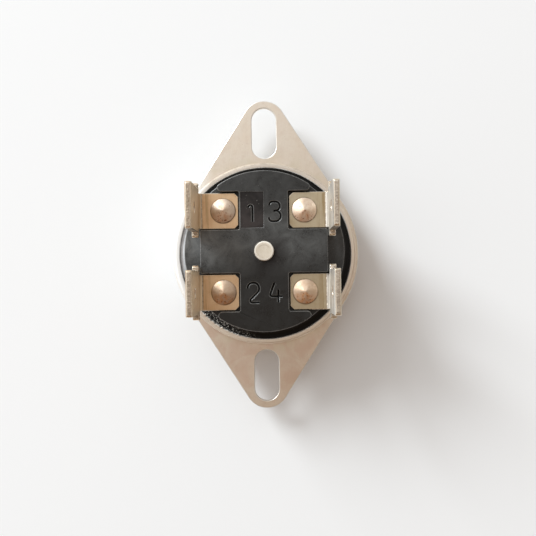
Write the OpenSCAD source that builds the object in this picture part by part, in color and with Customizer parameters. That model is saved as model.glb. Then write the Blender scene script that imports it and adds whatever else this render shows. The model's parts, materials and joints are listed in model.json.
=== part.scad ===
// Double-pole overheat protector with manual reset, flange mounted.
// Millimetres. The origin is the centre of the sensing face at the bottom of the cap, +Z runs up to
// the terminals, +Y along the flange and +X across it.

/* [Mounting flange] */
// Distance between the centres of the two slots
slot_pitch = 49.8; // [49:0.2:56]
// Width of a slot, which takes an M4 screw with room to shift
slot_w = 5; // [4.4:0.1:5.6]
// Length of a slot from end to end
slot_l = 10.4; // [8:0.2:11]
// Metal left between a slot and the tip of the flange
tip_web = 1.5; // [1.2:0.1:3]
// Metal left on each side of a slot at the tip
side_web = 2; // [1.6:0.1:3]
// Thickness of the flange plate
flange_t = 1; // [0.8:0.1:1.5]
// How far the round middle of the flange stands out past the rolled lip
flange_margin = 0.75; // [0.5:0.05:1.5]

/* [Sensing cap] */
// Thickness of the drawn sheet
cap_t = 0.6; // [0.5:0.05:0.7]
// Depth of the cap below the underside of the flange
cap_drop = 5.5; // [5.3:0.1:8]
// Width of the step that the snap disc rests on
seat_w = 1.8; // [1.7:0.1:2.4]
// Height of that step above the sensing face
seat_h = 2.4; // [2.2:0.1:2.7]
// Inner radius of the bends in the sheet
bend_r = 0.3; // [0.2:0.05:0.35]
// Radius of the bead that traps the flange from below
bead_r = 0.6; // [0.5:0.05:0.7]
// How far the lip is rolled in over the rim of the body
lip_reach = 0.5; // [0.4:0.05:0.9]
// Outer radius of the bend where the lip is rolled flat
lip_bend_r = 0.4; // [0.3:0.05:0.6]

/* [Switch body] */
// Height of the body from its underside to its top face
body_h = 12.4; // [12:0.1:16]
// Thickness of the rim that the lip clamps
rim_t = 1.6; // [1.2:0.1:2.4]
// Width of the rim that lies on the step of the cap
rim_ledge = 2.2; // [1.8:0.1:2.8]
// Radius of the hollow where the round wall rises from the rim
root_r = 1.5; // [0.8:0.1:1.6]
// Wall around the contact chamber, at the top
body_wall = 1.6; // [1.3:0.1:1.9]
// Growth of the radius from the top face down to the rim, so that the moulding leaves its tool
body_draft = 0.3; // [0.1:0.05:0.5]
// Depth of the terminal pockets below the top face
pocket_d = 2; // [1.6:0.1:2.4]
// Thickness of the roof between the pockets and the chamber
roof_t = 1.5; // [1.2:0.1:1.8]
// Width of the long wall between the left and right terminals
stem_w = 9.2; // [8.6:0.1:9.6]
// Width of the cross wall between the front and rear terminals
arm_w = 8.2; // [7.8:0.1:9]
// Rounding of the corner where a pocket runs out through the round wall
segment_r = 0.8; // [0.4:0.05:0.9]
// Air left round a terminal plate in its pocket
pocket_gap = 0.2; // [0.1:0.05:0.3]
// Thickness of the wall that parts the two poles inside
barrier_t = 1.5; // [1:0.1:2]
// Height of the bosses that the switch gear is riveted to
boss_h = 2; // [1.8:0.1:2.2]
// Radius of those bosses
boss_r = 2.6; // [2.4:0.05:2.7]

/* [Terminals] */
// Thickness of the terminal sheet
plate_t = 1.2; // [1:0.05:1.3]
// Width of the plate that lies in its pocket
plate_w = 6.8; // [6.4:0.1:7.2]
// Corner cut at the inner end of the plate
plate_cut = 0.7; // [0.3:0.1:1.2]
// Distance from the inner end of the plate to its rivet
rivet_inset = 2.87; // [2.75:0.01:3.3]
// Distance from the rivet to the inner face of the upright tab
tab_reach = 4.53; // [4.3:0.01:5.4]
// Inner radius of the bend
tab_bend_r = 0.6; // [0.3:0.05:0.9]
// Width of the shoulders at the foot of the tab
shoulder_w = 10.2; // [9.8:0.1:12]
// Height of the shoulders
shoulder_h = 1.6; // [1:0.1:3]
// Width of the tab
tab_w = 8.2; // [6.3:0.1:9.6]
// Height of the tab above the underside of its plate
tab_h = 13.5; // [12:0.1:16]
// Corner cut at the tip of the tab
tab_cut = 0.3; // [0.2:0.05:1.2]
// Lead-in bevel on each face at the tip
tab_bevel = 0.2; // [0.1:0.05:0.4]
// Radius of the latch hole in the tab
latch_r = 1; // [0.6:0.1:1.2]
// Distance from the tip to the middle of the latch hole
latch_drop = 4.6; // [4:0.1:6]

/* [Rivets] */
// Radius of a rivet shank
rivet_r = 1.3; // [1:0.05:1.4]
// Radius of the head
head_r = 2.35; // [2:0.05:2.6]
// Height of the blunt conical head
head_h = 1.25; // [0.9:0.05:1.5]
// Height of the upright rim of the head
head_rim = 0.25; // [0.15:0.05:0.35]
// Radius of the nose of the head
nose_r = 1.6; // [1:0.1:2]
// Radius of the clenched end inside
clench_r = 1.7; // [1.6:0.05:1.8]
// Height of the clenched end
clench_h = 0.5; // [0.3:0.05:0.7]

/* [Snap disc and guide] */
// Thickness of the bimetal disc
disc_t = 0.3; // [0.2:0.05:0.4]
// Dish of the disc from rim to centre
disc_dish = 0.6; // [0.4:0.05:0.7]
// Thickness of the guide plate over the disc
guide_t = 2; // [1.6:0.1:2.2]
// Radius of the trip rod between the disc and the cross bar
rod_r = 1.2; // [0.9:0.05:1.5]

/* [Switch gear] */
// Width of a contact leaf
leaf_w = 4.8; // [4.2:0.1:5.2]
// Thickness of a contact leaf
leaf_t = 0.3; // [0.2:0.05:0.4]
// Radius of a contact button
contact_r = 1.5; // [1.2:0.05:1.6]
// Thickness of a contact button
contact_t = 0.7; // [0.5:0.05:0.9]
// Thickness of a fixed contact bracket
bracket_t = 0.8; // [0.6:0.05:1]
// Length of the cross bar that lifts both leaves
bar_l = 18.4; // [17:0.1:20]
// Width of the cross bar
bar_w = 2; // [1.6:0.1:2.2]
// Height of the cross bar
bar_h = 1.6; // [1.3:0.1:2.2]
// Radius of the reset pin
pin_r = 1.85; // [1.5:0.05:2]
// How far the reset pin stands out of the top face while the contacts are closed
pin_proud = 0.6; // [0.1:0.05:1]
// Travel of the reset pin when the disc trips it
pin_travel = 1; // [0.7:0.05:1]

/* [Hidden] */
$fn = 96;

// Clearances, and how far a cut reaches past what it cuts
fit_gap = 0.05;
slide_gap = 0.07;
loose_gap = 0.1;
free_gap = 0.2;
wall_gap = 0.33;
leaf_gap = 0.4;
over = 1;

// Small fixed sizes of the mouldings, the pin and the buttons, and shares of other sizes
cap_margin = 1.3;
disc_margin = 0.4;
foot_margin = 0.55;
pin_foot_h = 0.4;
pin_edge_r = 0.3;
rod_edge_r = 0.4;
pin_boss_wall = 1.4;
body_edge = 0.4;
pocket_corner_r = 0.3;
barrier_lift = 2.6;
insert_d = 0.12;
insert_gap = 0.3;
skirt_wall = 1.1;
guide_boss_wall = 1.8;
guide_boss_drop = 0.8;
guide_boss_h = 4.2;
pad_h = 0.3;
shoulder_cut = 0.3;
button_edge = 0.15;
corner_share = 0.42;
pad_share = 0.6;
neck_share = 0.45;
clench_share = 1.4;

// Heights, from the sensing face up
flange_z = cap_drop;
flange_top = flange_z + flange_t;
base_z = flange_top + cap_t;
rim_top = base_z + rim_t;
lip_top = rim_top + cap_t;
body_top = base_z + body_h;
pocket_z = body_top - pocket_d;
roof_z = pocket_z - roof_t;
boss_z = roof_z - boss_h;
leaf_z = boss_z - leaf_t;
made_z = leaf_z - contact_t;
leg_top = made_z - contact_t;
leg_z = leg_top - bracket_t;
root_z = boss_z - bracket_t;
pad_top = leaf_z - free_gap;
bar_z = pad_top - bar_h;
disc_z = seat_h + loose_gap;
disc_low = disc_z - disc_dish + disc_t;
plate_top = pocket_z + plate_t;
tab_top = pocket_z + tab_h;

// Radii, from the rivets out
rivet_x = stem_w / 2 + pocket_gap + rivet_inset;
rivet_y = arm_w / 2 + pocket_gap + plate_w / 2;
chamber_r = norm([rivet_x, rivet_y]) + leaf_w / 2 + wall_gap;
body_r = chamber_r + body_wall;
seat_r = chamber_r + cap_margin;
cap_r = seat_r + cap_t;
low_r = cap_r - seat_w;
rim_r = cap_r + rim_ledge;
lip_r = rim_r + fit_gap + cap_t;
lip_in_r = rim_r + fit_gap - lip_reach;
disc_r = seat_r - disc_margin;
guide_r = seat_r - loose_gap;
pin_bore_r = pin_r + slide_gap;
flange_r = lip_r + flange_margin;

// Places along the flange and across the body
slot_y = slot_pitch / 2;
tip_r = slot_w / 2 + side_web;
tip_y = slot_y + slot_l / 2 + tip_web - tip_r;
pocket_y = rivet_y + plate_w / 2 + pocket_gap;
tab_x = rivet_x + tab_reach;
arm_end_x = tab_x - free_gap;
tab_foot_z = pocket_z + plate_t + tab_bend_r;
hub_r = pin_r + foot_margin;
web_y = rivet_y - clench_r - loose_gap - bracket_t;
leaf_tip_y = web_y - leaf_gap;
contact_y = leaf_tip_y - free_gap - contact_r;
neck_r = contact_r * neck_share;
pin_boss_z = pad_top + pin_foot_h + pin_travel + loose_gap;

function unit(v) = v / norm(v);

function turn(a) = a > 180 ? a - 360 : a < -180 ? a + 360 : a;

// Points of the arc of radius r that rounds the corner b between a and c
function corner(a, b, c, r, n = 5) =
    let (u = unit(a - b), v = unit(c - b), half = acos(u * v) / 2)
    let (m = b + unit(u + v) * r / sin(half))
    let (s = b + u * r / tan(half) - m, e = b + v * r / tan(half) - m)
    let (first = atan2(s.y, s.x), sweep = turn(atan2(e.y, e.x) - first))
    [for (i = [0:n]) m + r * [cos(first + sweep * i / n), sin(first + sweep * i / n)]];

// The path p with each of its inner corners rounded by its own radius
function rounded(p, r, n = 5) = [
    for (i = [0:len(p) - 1])
        each (i == 0 || i == len(p) - 1 || r[i] == 0)
            ? [p[i]]
            : corner(p[i - 1], p[i], p[i + 1], r[i], n)
];

function reversed(p) = [for (i = [len(p) - 1:-1:0]) p[i]];

// Half circle that bulges outwards from the line x = edge, from bottom to top
function bulge(edge, z, r, n = 8) =
    [for (i = [0:n]) [edge + r * cos(-90 + 180 * i / n), z + r * sin(-90 + 180 * i / n)]];

// Flat bar with round ends, which lies along y from y0 to y1
module round_bar(y0, y1, w) {
    translate([-w / 2, y0 + w / 2])
        square([w, y1 - y0 - w]);
    for (y = [y0 + w / 2, y1 - w / 2])
        translate([0, y])
            circle(r = w / 2);
}

// Drawn cup with a step for the disc, a bead under the flange and a lip rolled over the body
module sensing_cap() {
    outer_bend = bend_r + cap_t;
    wall_in = cap_r - cap_t;
    bead_z = flange_z - bead_r;
    low_outside = rounded(
        [[0, 0], [low_r, 0], [low_r, seat_h - cap_t], [cap_r, seat_h - cap_t], [cap_r, bead_z - bead_r]],
        [0, outer_bend, bend_r, outer_bend, 0]);
    high_outside = rounded(
        [[cap_r, flange_z], [cap_r, flange_top], [lip_r, flange_top], [lip_r, lip_top], [lip_in_r, lip_top]],
        [0, bend_r, outer_bend, lip_bend_r, 0]);
    low_inside = rounded(
        [[0, cap_t], [low_r - cap_t, cap_t], [low_r - cap_t, seat_h], [wall_in, seat_h],
         [wall_in, bead_z - bead_r]],
        [0, bend_r, outer_bend, bend_r, 0]);
    high_inside = rounded(
        [[wall_in, flange_z], [wall_in, base_z], [lip_r - cap_t, base_z], [lip_r - cap_t, rim_top],
         [lip_in_r, rim_top]],
        [0, outer_bend, bend_r, bend_r, 0]);
    color("gainsboro")
        rotate_extrude()
            polygon(concat(
                low_outside, bulge(cap_r, bead_z, bead_r), high_outside,
                reversed(concat(low_inside, bulge(wall_in, bead_z, bead_r), high_inside))));
}

// Flat plate with two slotted ears, clamped between the step and the bead of the cap
module mounting_flange() {
    color("silver")
        translate([0, 0, flange_z])
            linear_extrude(flange_t)
                difference() {
                    hull() {
                        circle(r = flange_r);
                        for (y = [-tip_y, tip_y])
                            translate([0, y])
                                circle(r = tip_r);
                    }
                    circle(r = cap_r + bend_r + fit_gap);
                    for (y = [-slot_y, slot_y])
                        round_bar(y - slot_l / 2, y + slot_l / 2, slot_w);
                }
}

// Shallow dish that snaps its centre up when it is hot
module bimetal_disc() {
    steps = 10;
    under = [for (i = [0:steps])
        let (part = i / steps) [disc_r * part, disc_z - disc_dish * (1 - pow(part, 2))]];
    upper = [for (p = under) [p.x, p.y + disc_t]];
    color("goldenrod")
        rotate_extrude()
            polygon(concat(under, reversed(upper)));
}

// Moulded plate that keeps the disc down and guides the rod
module guide_plate() {
    plate_z = base_z - guide_t;
    skirt_z = disc_z + disc_t + free_gap;
    boss_foot = plate_z - guide_boss_drop;
    color("saddlebrown")
        difference() {
            union() {
                translate([0, 0, plate_z])
                    cylinder(r = guide_r, h = guide_t);
                translate([0, 0, skirt_z])
                    difference() {
                        cylinder(r = guide_r, h = plate_z - skirt_z + fit_gap);
                        translate([0, 0, -over])
                            cylinder(r = guide_r - skirt_wall, h = plate_z - skirt_z + fit_gap + 2 * over);
                    }
                translate([0, 0, boss_foot])
                    cylinder(r = rod_r + guide_boss_wall, h = guide_boss_h);
            }
            translate([0, 0, boss_foot - over])
                cylinder(r = rod_r + fit_gap, h = guide_boss_h + 2 * over);
        }
}

// Round rod with a blunt lower end
module trip_rod() {
    foot = disc_low + loose_gap;
    color("ivory")
        rotate_extrude()
            polygon(rounded(
                [[0, foot], [rod_r, foot], [rod_r, bar_z], [0, bar_z]],
                [0, rod_edge_r, 0, 0]));
}

// Moulded bar with a hub for the pin and a narrow pad under each leaf
module cross_bar() {
    pad_l = leaf_w / 2;
    color("linen") {
        translate([0, 0, bar_z])
            linear_extrude(bar_h - pad_h)
                square([bar_l, bar_w], center = true);
        translate([0, 0, bar_z])
            cylinder(r = hub_r, h = bar_h);
        for (s = [-1, 1])
            translate([s * (bar_l - pad_l) / 2, 0, pad_top - (pad_h + fit_gap) / 2])
                cube([pad_l, bar_w * pad_share, pad_h + fit_gap], center = true);
    }
}

// Pin with a foot that keeps it in the body and a rounded top
module reset_pin() {
    head_z = body_top + pin_proud;
    color("ivory")
        rotate_extrude()
            polygon(rounded(
                [[0, pad_top], [hub_r, pad_top], [hub_r, pad_top + pin_foot_h], [pin_r, pad_top + pin_foot_h],
                 [pin_r, head_z], [0, head_z]],
                [0, 0, 0, 0, pin_edge_r, 0]));
}

// Outline of one quarter of the pockets, in the corner where x and y are positive. Its outer wall ends in
// a rounded corner, which runs over into the round wall of the body at the angle round_a.
module pocket_outline() {
    inner_x = stem_w / 2;
    inner_y = arm_w / 2;
    floor_r = body_r + body_draft * pocket_d / (body_top - rim_top) + fit_gap / 2;
    beyond = floor_r + over;
    wall_a = asin(pocket_y / floor_r);
    round_l = segment_r / tan(corner_share * (90 - wall_a));
    round_a = wall_a + 2 * asin(round_l / 2 / floor_r);
    round_end = [cos(round_a), sin(round_a)];
    start = [inner_x, (inner_y + pocket_y) / 2];
    r = pocket_corner_r;
    polygon(rounded(
        [start, [inner_x, inner_y], [arm_end_x, inner_y], [arm_end_x, -fit_gap], [beyond, -fit_gap],
         beyond * [1, round_end.y], beyond * round_end, floor_r * round_end,
         floor_r * [cos(wall_a), sin(wall_a)], [inner_x, pocket_y], start],
        [0, r, r, 0, 0, 0, 0, 0, segment_r, r, 0], 8));
}

// Calls its children in all four quarters
module quarters() {
    for (mx = [0, 1], my = [0, 1])
        mirror([mx, 0, 0])
            mirror([0, my, 0])
                children();
}

// Moulded body: a clamped rim, a round housing over the chamber and a raised cross on its top
module switch_body() {
    edge = body_edge;
    barrier_z = base_z + barrier_lift;
    barrier_in = hub_r + free_gap;
    barrier_l = chamber_r + fit_gap - barrier_in;
    color([0.13, 0.13, 0.13])
        difference() {
            union() {
                difference() {
                    rotate_extrude()
                        polygon(rounded(
                            [[0, base_z], [rim_r - edge, base_z], [rim_r, base_z + edge],
                             [rim_r, rim_top - edge], [rim_r - edge, rim_top],
                             [body_r + body_draft, rim_top], [body_r, body_top], [0, body_top]],
                            [0, 0, 0, 0, 0, root_r, 0, 0]));
                    translate([0, 0, base_z - over])
                        cylinder(r = chamber_r, h = roof_z - base_z + over);
                }
                quarters()
                    translate([rivet_x, rivet_y, boss_z])
                        cylinder(r = boss_r, h = boss_h + fit_gap);
                translate([0, 0, pin_boss_z])
                    cylinder(r = pin_bore_r + pin_boss_wall, h = roof_z - pin_boss_z + fit_gap);
                for (s = [-1, 1])
                    translate([-barrier_t / 2, s > 0 ? barrier_in : -barrier_in - barrier_l, barrier_z])
                        cube([barrier_t, barrier_l, roof_z - barrier_z + fit_gap]);
            }
            quarters() {
                translate([0, 0, pocket_z])
                    linear_extrude(pocket_d + over)
                        pocket_outline();
                translate([rivet_x, rivet_y, boss_z - over])
                    cylinder(r = rivet_r + fit_gap, h = boss_h + roof_t + 2 * over);
            }
            translate([0, 0, pin_boss_z - over])
                cylinder(r = pin_bore_r, h = body_top - pin_boss_z + 2 * over);
            translate([insert_gap - stem_w / 2, arm_w / 2 + insert_gap, body_top - insert_d])
                cube([stem_w / 2 - insert_gap, plate_w, over]);
        }
}

// Outline of the upright tab, seen along x, with y measured from its middle
module tab_outline() {
    foot = tab_foot_z;
    shoulder = foot + shoulder_h;
    half = [
        [shoulder_w / 2, foot], [shoulder_w / 2, shoulder - shoulder_cut],
        [shoulder_w / 2 - shoulder_cut, shoulder], [tab_w / 2, shoulder],
        [tab_w / 2, tab_top - tab_cut], [tab_w / 2 - tab_cut, tab_top]];
    polygon(concat(half, reversed([for (p = half) [-p.x, p.y]])));
}

// Terminal in the quarter where x and y are positive: plate, bend and upright tab
module terminal() {
    inner_end = stem_w / 2 + pocket_gap;
    outer_x = tab_x + plate_t;
    outside = rounded(
        [[inner_end, pocket_z], [outer_x, pocket_z], [outer_x, tab_foot_z]],
        [0, plate_t + tab_bend_r, 0]);
    inside = rounded(
        [[inner_end, plate_top], [tab_x, plate_top], [tab_x, tab_foot_z]],
        [0, tab_bend_r, 0]);
    color("tan")
        difference() {
            union() {
                intersection() {
                    translate([0, rivet_y + plate_w / 2, 0])
                        rotate([90, 0, 0])
                            linear_extrude(plate_w)
                                polygon(concat(outside, reversed(inside)));
                    translate([inner_end, rivet_y, 0])
                        linear_extrude(tab_top)
                            polygon([
                                [0, -plate_w / 2 + plate_cut], [plate_cut, -plate_w / 2],
                                [outer_x, -plate_w / 2], [outer_x, plate_w / 2],
                                [plate_cut, plate_w / 2], [0, plate_w / 2 - plate_cut]]);
                }
                intersection() {
                    translate([tab_x, rivet_y, 0])
                        rotate([90, 0, 90])
                            linear_extrude(plate_t)
                                tab_outline();
                    translate([0, rivet_y + shoulder_w, 0])
                        rotate([90, 0, 0])
                            linear_extrude(2 * shoulder_w)
                                polygon([
                                    [tab_x, 0], [outer_x, 0], [outer_x, tab_top - 2 * tab_bevel],
                                    [outer_x - tab_bevel, tab_top], [tab_x + tab_bevel, tab_top],
                                    [tab_x, tab_top - 2 * tab_bevel]]);
                }
            }
            translate([rivet_x, rivet_y, pocket_z - over])
                cylinder(r = rivet_r + fit_gap, h = plate_t + 2 * over);
            translate([tab_x - over, rivet_y, tab_top - latch_drop])
                rotate([0, 90, 0])
                    cylinder(r = latch_r, h = plate_t + 2 * over);
        }
}

// Rivet through a terminal, the roof, its boss and a sheet of thickness stack, clenched below it
module terminal_rivet(stack) {
    grip_z = boss_z - stack;
    rim_z = plate_top + head_rim;
    slope_a = atan((head_h - head_rim) / head_r);
    tip = [0, plate_top + head_h + nose_r * (1 / cos(slope_a) - 1)];
    nose = corner([head_r, rim_z], tip, [-head_r, rim_z], nose_r, 8);
    color("silver")
        translate([rivet_x, rivet_y, 0])
            rotate_extrude()
                polygon(concat(
                    rounded(
                        [[0, grip_z - clench_h], [clench_r, grip_z - clench_h], [clench_r, grip_z],
                         [rivet_r, grip_z], [rivet_r, plate_top], [head_r, plate_top], [head_r, rim_z],
                         nose[0]],
                        [0, clench_h / 2, 0, 0, 0, 0, head_rim / 2, 0]),
                    [for (i = [1:4]) nose[i]]));
}

// Contact button on the face z of a sheet, whose neck is clenched on the far side.
// The button hangs below the sheet where s is 1, and stands on it where s is -1.
module contact_button(z, sheet_t, s) {
    clench = 0.2;
    translate([0, contact_y, z])
        mirror([0, 0, s > 0 ? 0 : 1])
            rotate_extrude()
                polygon([
                    [0, -contact_t], [contact_r - button_edge, -contact_t],
                    [contact_r, -contact_t + button_edge], [contact_r, 0], [neck_r, 0], [neck_r, sheet_t],
                    [neck_r * clench_share, sheet_t], [neck_r * clench_share, sheet_t + clench],
                    [0, sheet_t + clench]]);
}

// Spring leaf, riveted at its front end and lifted at its middle
module contact_arm() {
    color("peru")
        translate([rivet_x, 0, leaf_z])
            linear_extrude(leaf_t)
                difference() {
                    round_bar(-rivet_y - leaf_w / 2, leaf_tip_y, leaf_w);
                    translate([0, -rivet_y])
                        circle(r = rivet_r + fit_gap);
                    translate([0, contact_y])
                        circle(r = neck_r + fit_gap);
                }
}

module moving_contact() {
    color("lightgray")
        translate([rivet_x, 0, 0])
            contact_button(leaf_z, leaf_t, 1);
}

// Bracket with a step down from the boss to the leg that carries the fixed contact
module contact_bracket() {
    leg_y = bar_w / 2 + wall_gap;
    color("darkgoldenrod")
        translate([rivet_x, 0, 0])
            difference() {
                union() {
                    translate([0, 0, root_z])
                        linear_extrude(bracket_t)
                            union() {
                                translate([0, rivet_y])
                                    circle(r = leaf_w / 2);
                                translate([-leaf_w / 2, web_y])
                                    square([leaf_w, rivet_y - web_y]);
                            }
                    translate([-leaf_w / 2, web_y, leg_z])
                        cube([leaf_w, bracket_t, boss_z - leg_z]);
                    translate([-leaf_w / 2, leg_y, leg_z])
                        cube([leaf_w, web_y - leg_y + fit_gap, bracket_t]);
                }
                translate([0, rivet_y, root_z - over])
                    cylinder(r = rivet_r + fit_gap, h = bracket_t + 2 * over);
                translate([0, contact_y, leg_z - over])
                    cylinder(r = neck_r + fit_gap, h = bracket_t + 2 * over);
            }
}

module fixed_contact() {
    color("lightgray")
        translate([rivet_x, 0, 0])
            contact_button(leg_top, bracket_t, -1);
}

module terminal_1() { mirror([1, 0, 0]) terminal(); }
module terminal_2() { mirror([1, 0, 0]) mirror([0, 1, 0]) terminal(); }
module terminal_3() { terminal(); }
module terminal_4() { mirror([0, 1, 0]) terminal(); }
module terminal_rivet_1() { mirror([1, 0, 0]) terminal_rivet(bracket_t); }
module terminal_rivet_2() { mirror([1, 0, 0]) mirror([0, 1, 0]) terminal_rivet(leaf_t); }
module terminal_rivet_3() { terminal_rivet(bracket_t); }
module terminal_rivet_4() { mirror([0, 1, 0]) terminal_rivet(leaf_t); }
module contact_arm_left() { mirror([1, 0, 0]) contact_arm(); }
module contact_arm_right() { contact_arm(); }
module moving_contact_left() { mirror([1, 0, 0]) moving_contact(); }
module moving_contact_right() { moving_contact(); }
module contact_bracket_left() { mirror([1, 0, 0]) contact_bracket(); }
module contact_bracket_right() { contact_bracket(); }
module fixed_contact_left() { mirror([1, 0, 0]) fixed_contact(); }
module fixed_contact_right() { fixed_contact(); }

sensing_cap();
mounting_flange();
bimetal_disc();
guide_plate();
trip_rod();
cross_bar();
reset_pin();
switch_body();
terminal_1();
terminal_2();
terminal_3();
terminal_4();
terminal_rivet_1();
terminal_rivet_2();
terminal_rivet_3();
terminal_rivet_4();
contact_arm_left();
contact_arm_right();
moving_contact_left();
moving_contact_right();
contact_bracket_left();
contact_bracket_right();
fixed_contact_left();
fixed_contact_right();
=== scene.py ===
"""Looks of a flange-mounted overheat protector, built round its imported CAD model.

All shapes are in metres, in the frame of the CAD model: the sensing face lies on the floor at z = 0, the
terminals stand up along +Z and the two ears of the flange point along +Y and -Y.
"""
import json
import math

import bmesh
import bpy
import numpy as np
from mathutils import Matrix, Vector


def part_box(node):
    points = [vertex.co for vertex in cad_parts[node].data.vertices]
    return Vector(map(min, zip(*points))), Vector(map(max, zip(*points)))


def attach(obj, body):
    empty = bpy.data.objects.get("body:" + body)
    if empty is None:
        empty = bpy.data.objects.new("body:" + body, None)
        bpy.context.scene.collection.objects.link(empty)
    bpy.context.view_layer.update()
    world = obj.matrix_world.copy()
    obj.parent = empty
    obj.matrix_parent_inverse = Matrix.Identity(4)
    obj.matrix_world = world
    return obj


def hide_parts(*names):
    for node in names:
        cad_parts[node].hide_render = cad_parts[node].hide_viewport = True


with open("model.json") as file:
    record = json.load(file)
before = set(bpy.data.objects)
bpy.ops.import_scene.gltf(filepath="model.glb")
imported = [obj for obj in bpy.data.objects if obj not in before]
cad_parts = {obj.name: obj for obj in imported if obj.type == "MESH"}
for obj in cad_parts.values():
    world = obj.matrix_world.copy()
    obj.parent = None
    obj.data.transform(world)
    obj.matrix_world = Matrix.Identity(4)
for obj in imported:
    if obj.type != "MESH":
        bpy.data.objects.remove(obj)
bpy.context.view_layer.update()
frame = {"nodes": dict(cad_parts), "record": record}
MM = 0.001
SIDES = ("left", "right")
QUARTERS = (1, 2, 3, 4)
# Directions as the photograph shows them. UP looks out of it
RIGHT = (1.0, 0.0, 0.0)
BACK = (0.0, 1.0, 0.0)
FRONT = (0.0, -1.0, 0.0)
FRONT_RIGHT = (0.7, -0.7, 0.0)
UP = (0.0, 0.0, 1.0)
# Neighbouring faces that turn by less than FLAT are joined, and edges that turn by more than SHARP are eased
FLAT, SHARP = math.radians(0.6), math.radians(30.0)


def size_mm(node):
    """Lowest and highest corner of the CAD node's box, in millimetres."""
    low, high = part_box(node)
    return np.array(low) / MM, np.array(high) / MM


# Sizes in millimetres. The rivets stand at RIVET_AT and at its mirror images, the reset pin on the axis
RIVET_LOW, RIVET_HIGH = size_mm("terminal_rivet_3")
RIVET_AT = tuple((RIVET_LOW + RIVET_HIGH)[:2] / 2)
HEAD_R = (RIVET_HIGH - RIVET_LOW)[0] / 2
PIN_R = 1.85
EAR_END = size_mm("mounting_flange")[1][1]
# The body's flat top, the depth of the recess in it, and the radii between which its wall flares into the rim
BODY_TOP = size_mm("switch_body")[1][2]
RECESS_D = 0.12
FLARE = (15.9, 16.5)
# The terminals' sheet, the top of their plates, and the heights where the bend ends and the blade starts
TERMINAL_T = 1.2
PLATE_TOP = size_mm("terminal_1")[0][2] + TERMINAL_T
BEND_END, BLADE_START = PLATE_TOP + 2.1, PLATE_TOP + 3.9
# The cap's lip, its sheet, the inner radius of its bends, and the radius of its low part
LIP_R, LIP_TOP = size_mm("sensing_cap")[1][[0, 2]]
CAP_T, CAP_BEND = 0.6, 0.3
LOW_R = 13.7


# Finishes
def shaded(colour, share):
    """The colour, share times as bright."""
    return tuple(c * share for c in colour)


class Nodes:
    """Makes shader nodes in one tree."""

    def __init__(self, tree):
        self.tree = tree
        tree.nodes.clear()

    def add(self, kind, **settings):
        node = self.tree.nodes.new(kind)
        for key, value in settings.items():
            setattr(node, key, value)
        return node

    def feed(self, socket, value):
        """Links the value to the socket if it is another node's output, or else sets the socket to it."""
        if isinstance(value, bpy.types.NodeSocket):
            self.tree.links.new(value, socket)
        else:
            socket.default_value = value

    def mix(self, factor, first, second):
        """The first colour where factor is 0, the second where it is 1."""
        node = self.add("ShaderNodeMix", data_type="RGBA")
        self.feed(node.inputs[0], factor)
        for socket, colour in ((node.inputs[6], first), (node.inputs[7], second)):
            self.feed(socket, colour if isinstance(colour, bpy.types.NodeSocket) else (*colour, 1.0))
        return node.outputs[2]

    def choose(self, factor, first, second, kind):
        """Ends the tree in an output of that kind: the first shader where factor is 0, the second where it
        is 1."""
        node = self.add("ShaderNodeMixShader")
        for socket, value in zip(node.inputs, (factor, first.outputs[0], second.outputs[0])):
            self.feed(socket, value)
        self.feed(self.add(kind).inputs["Surface"], node.outputs[0])


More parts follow.
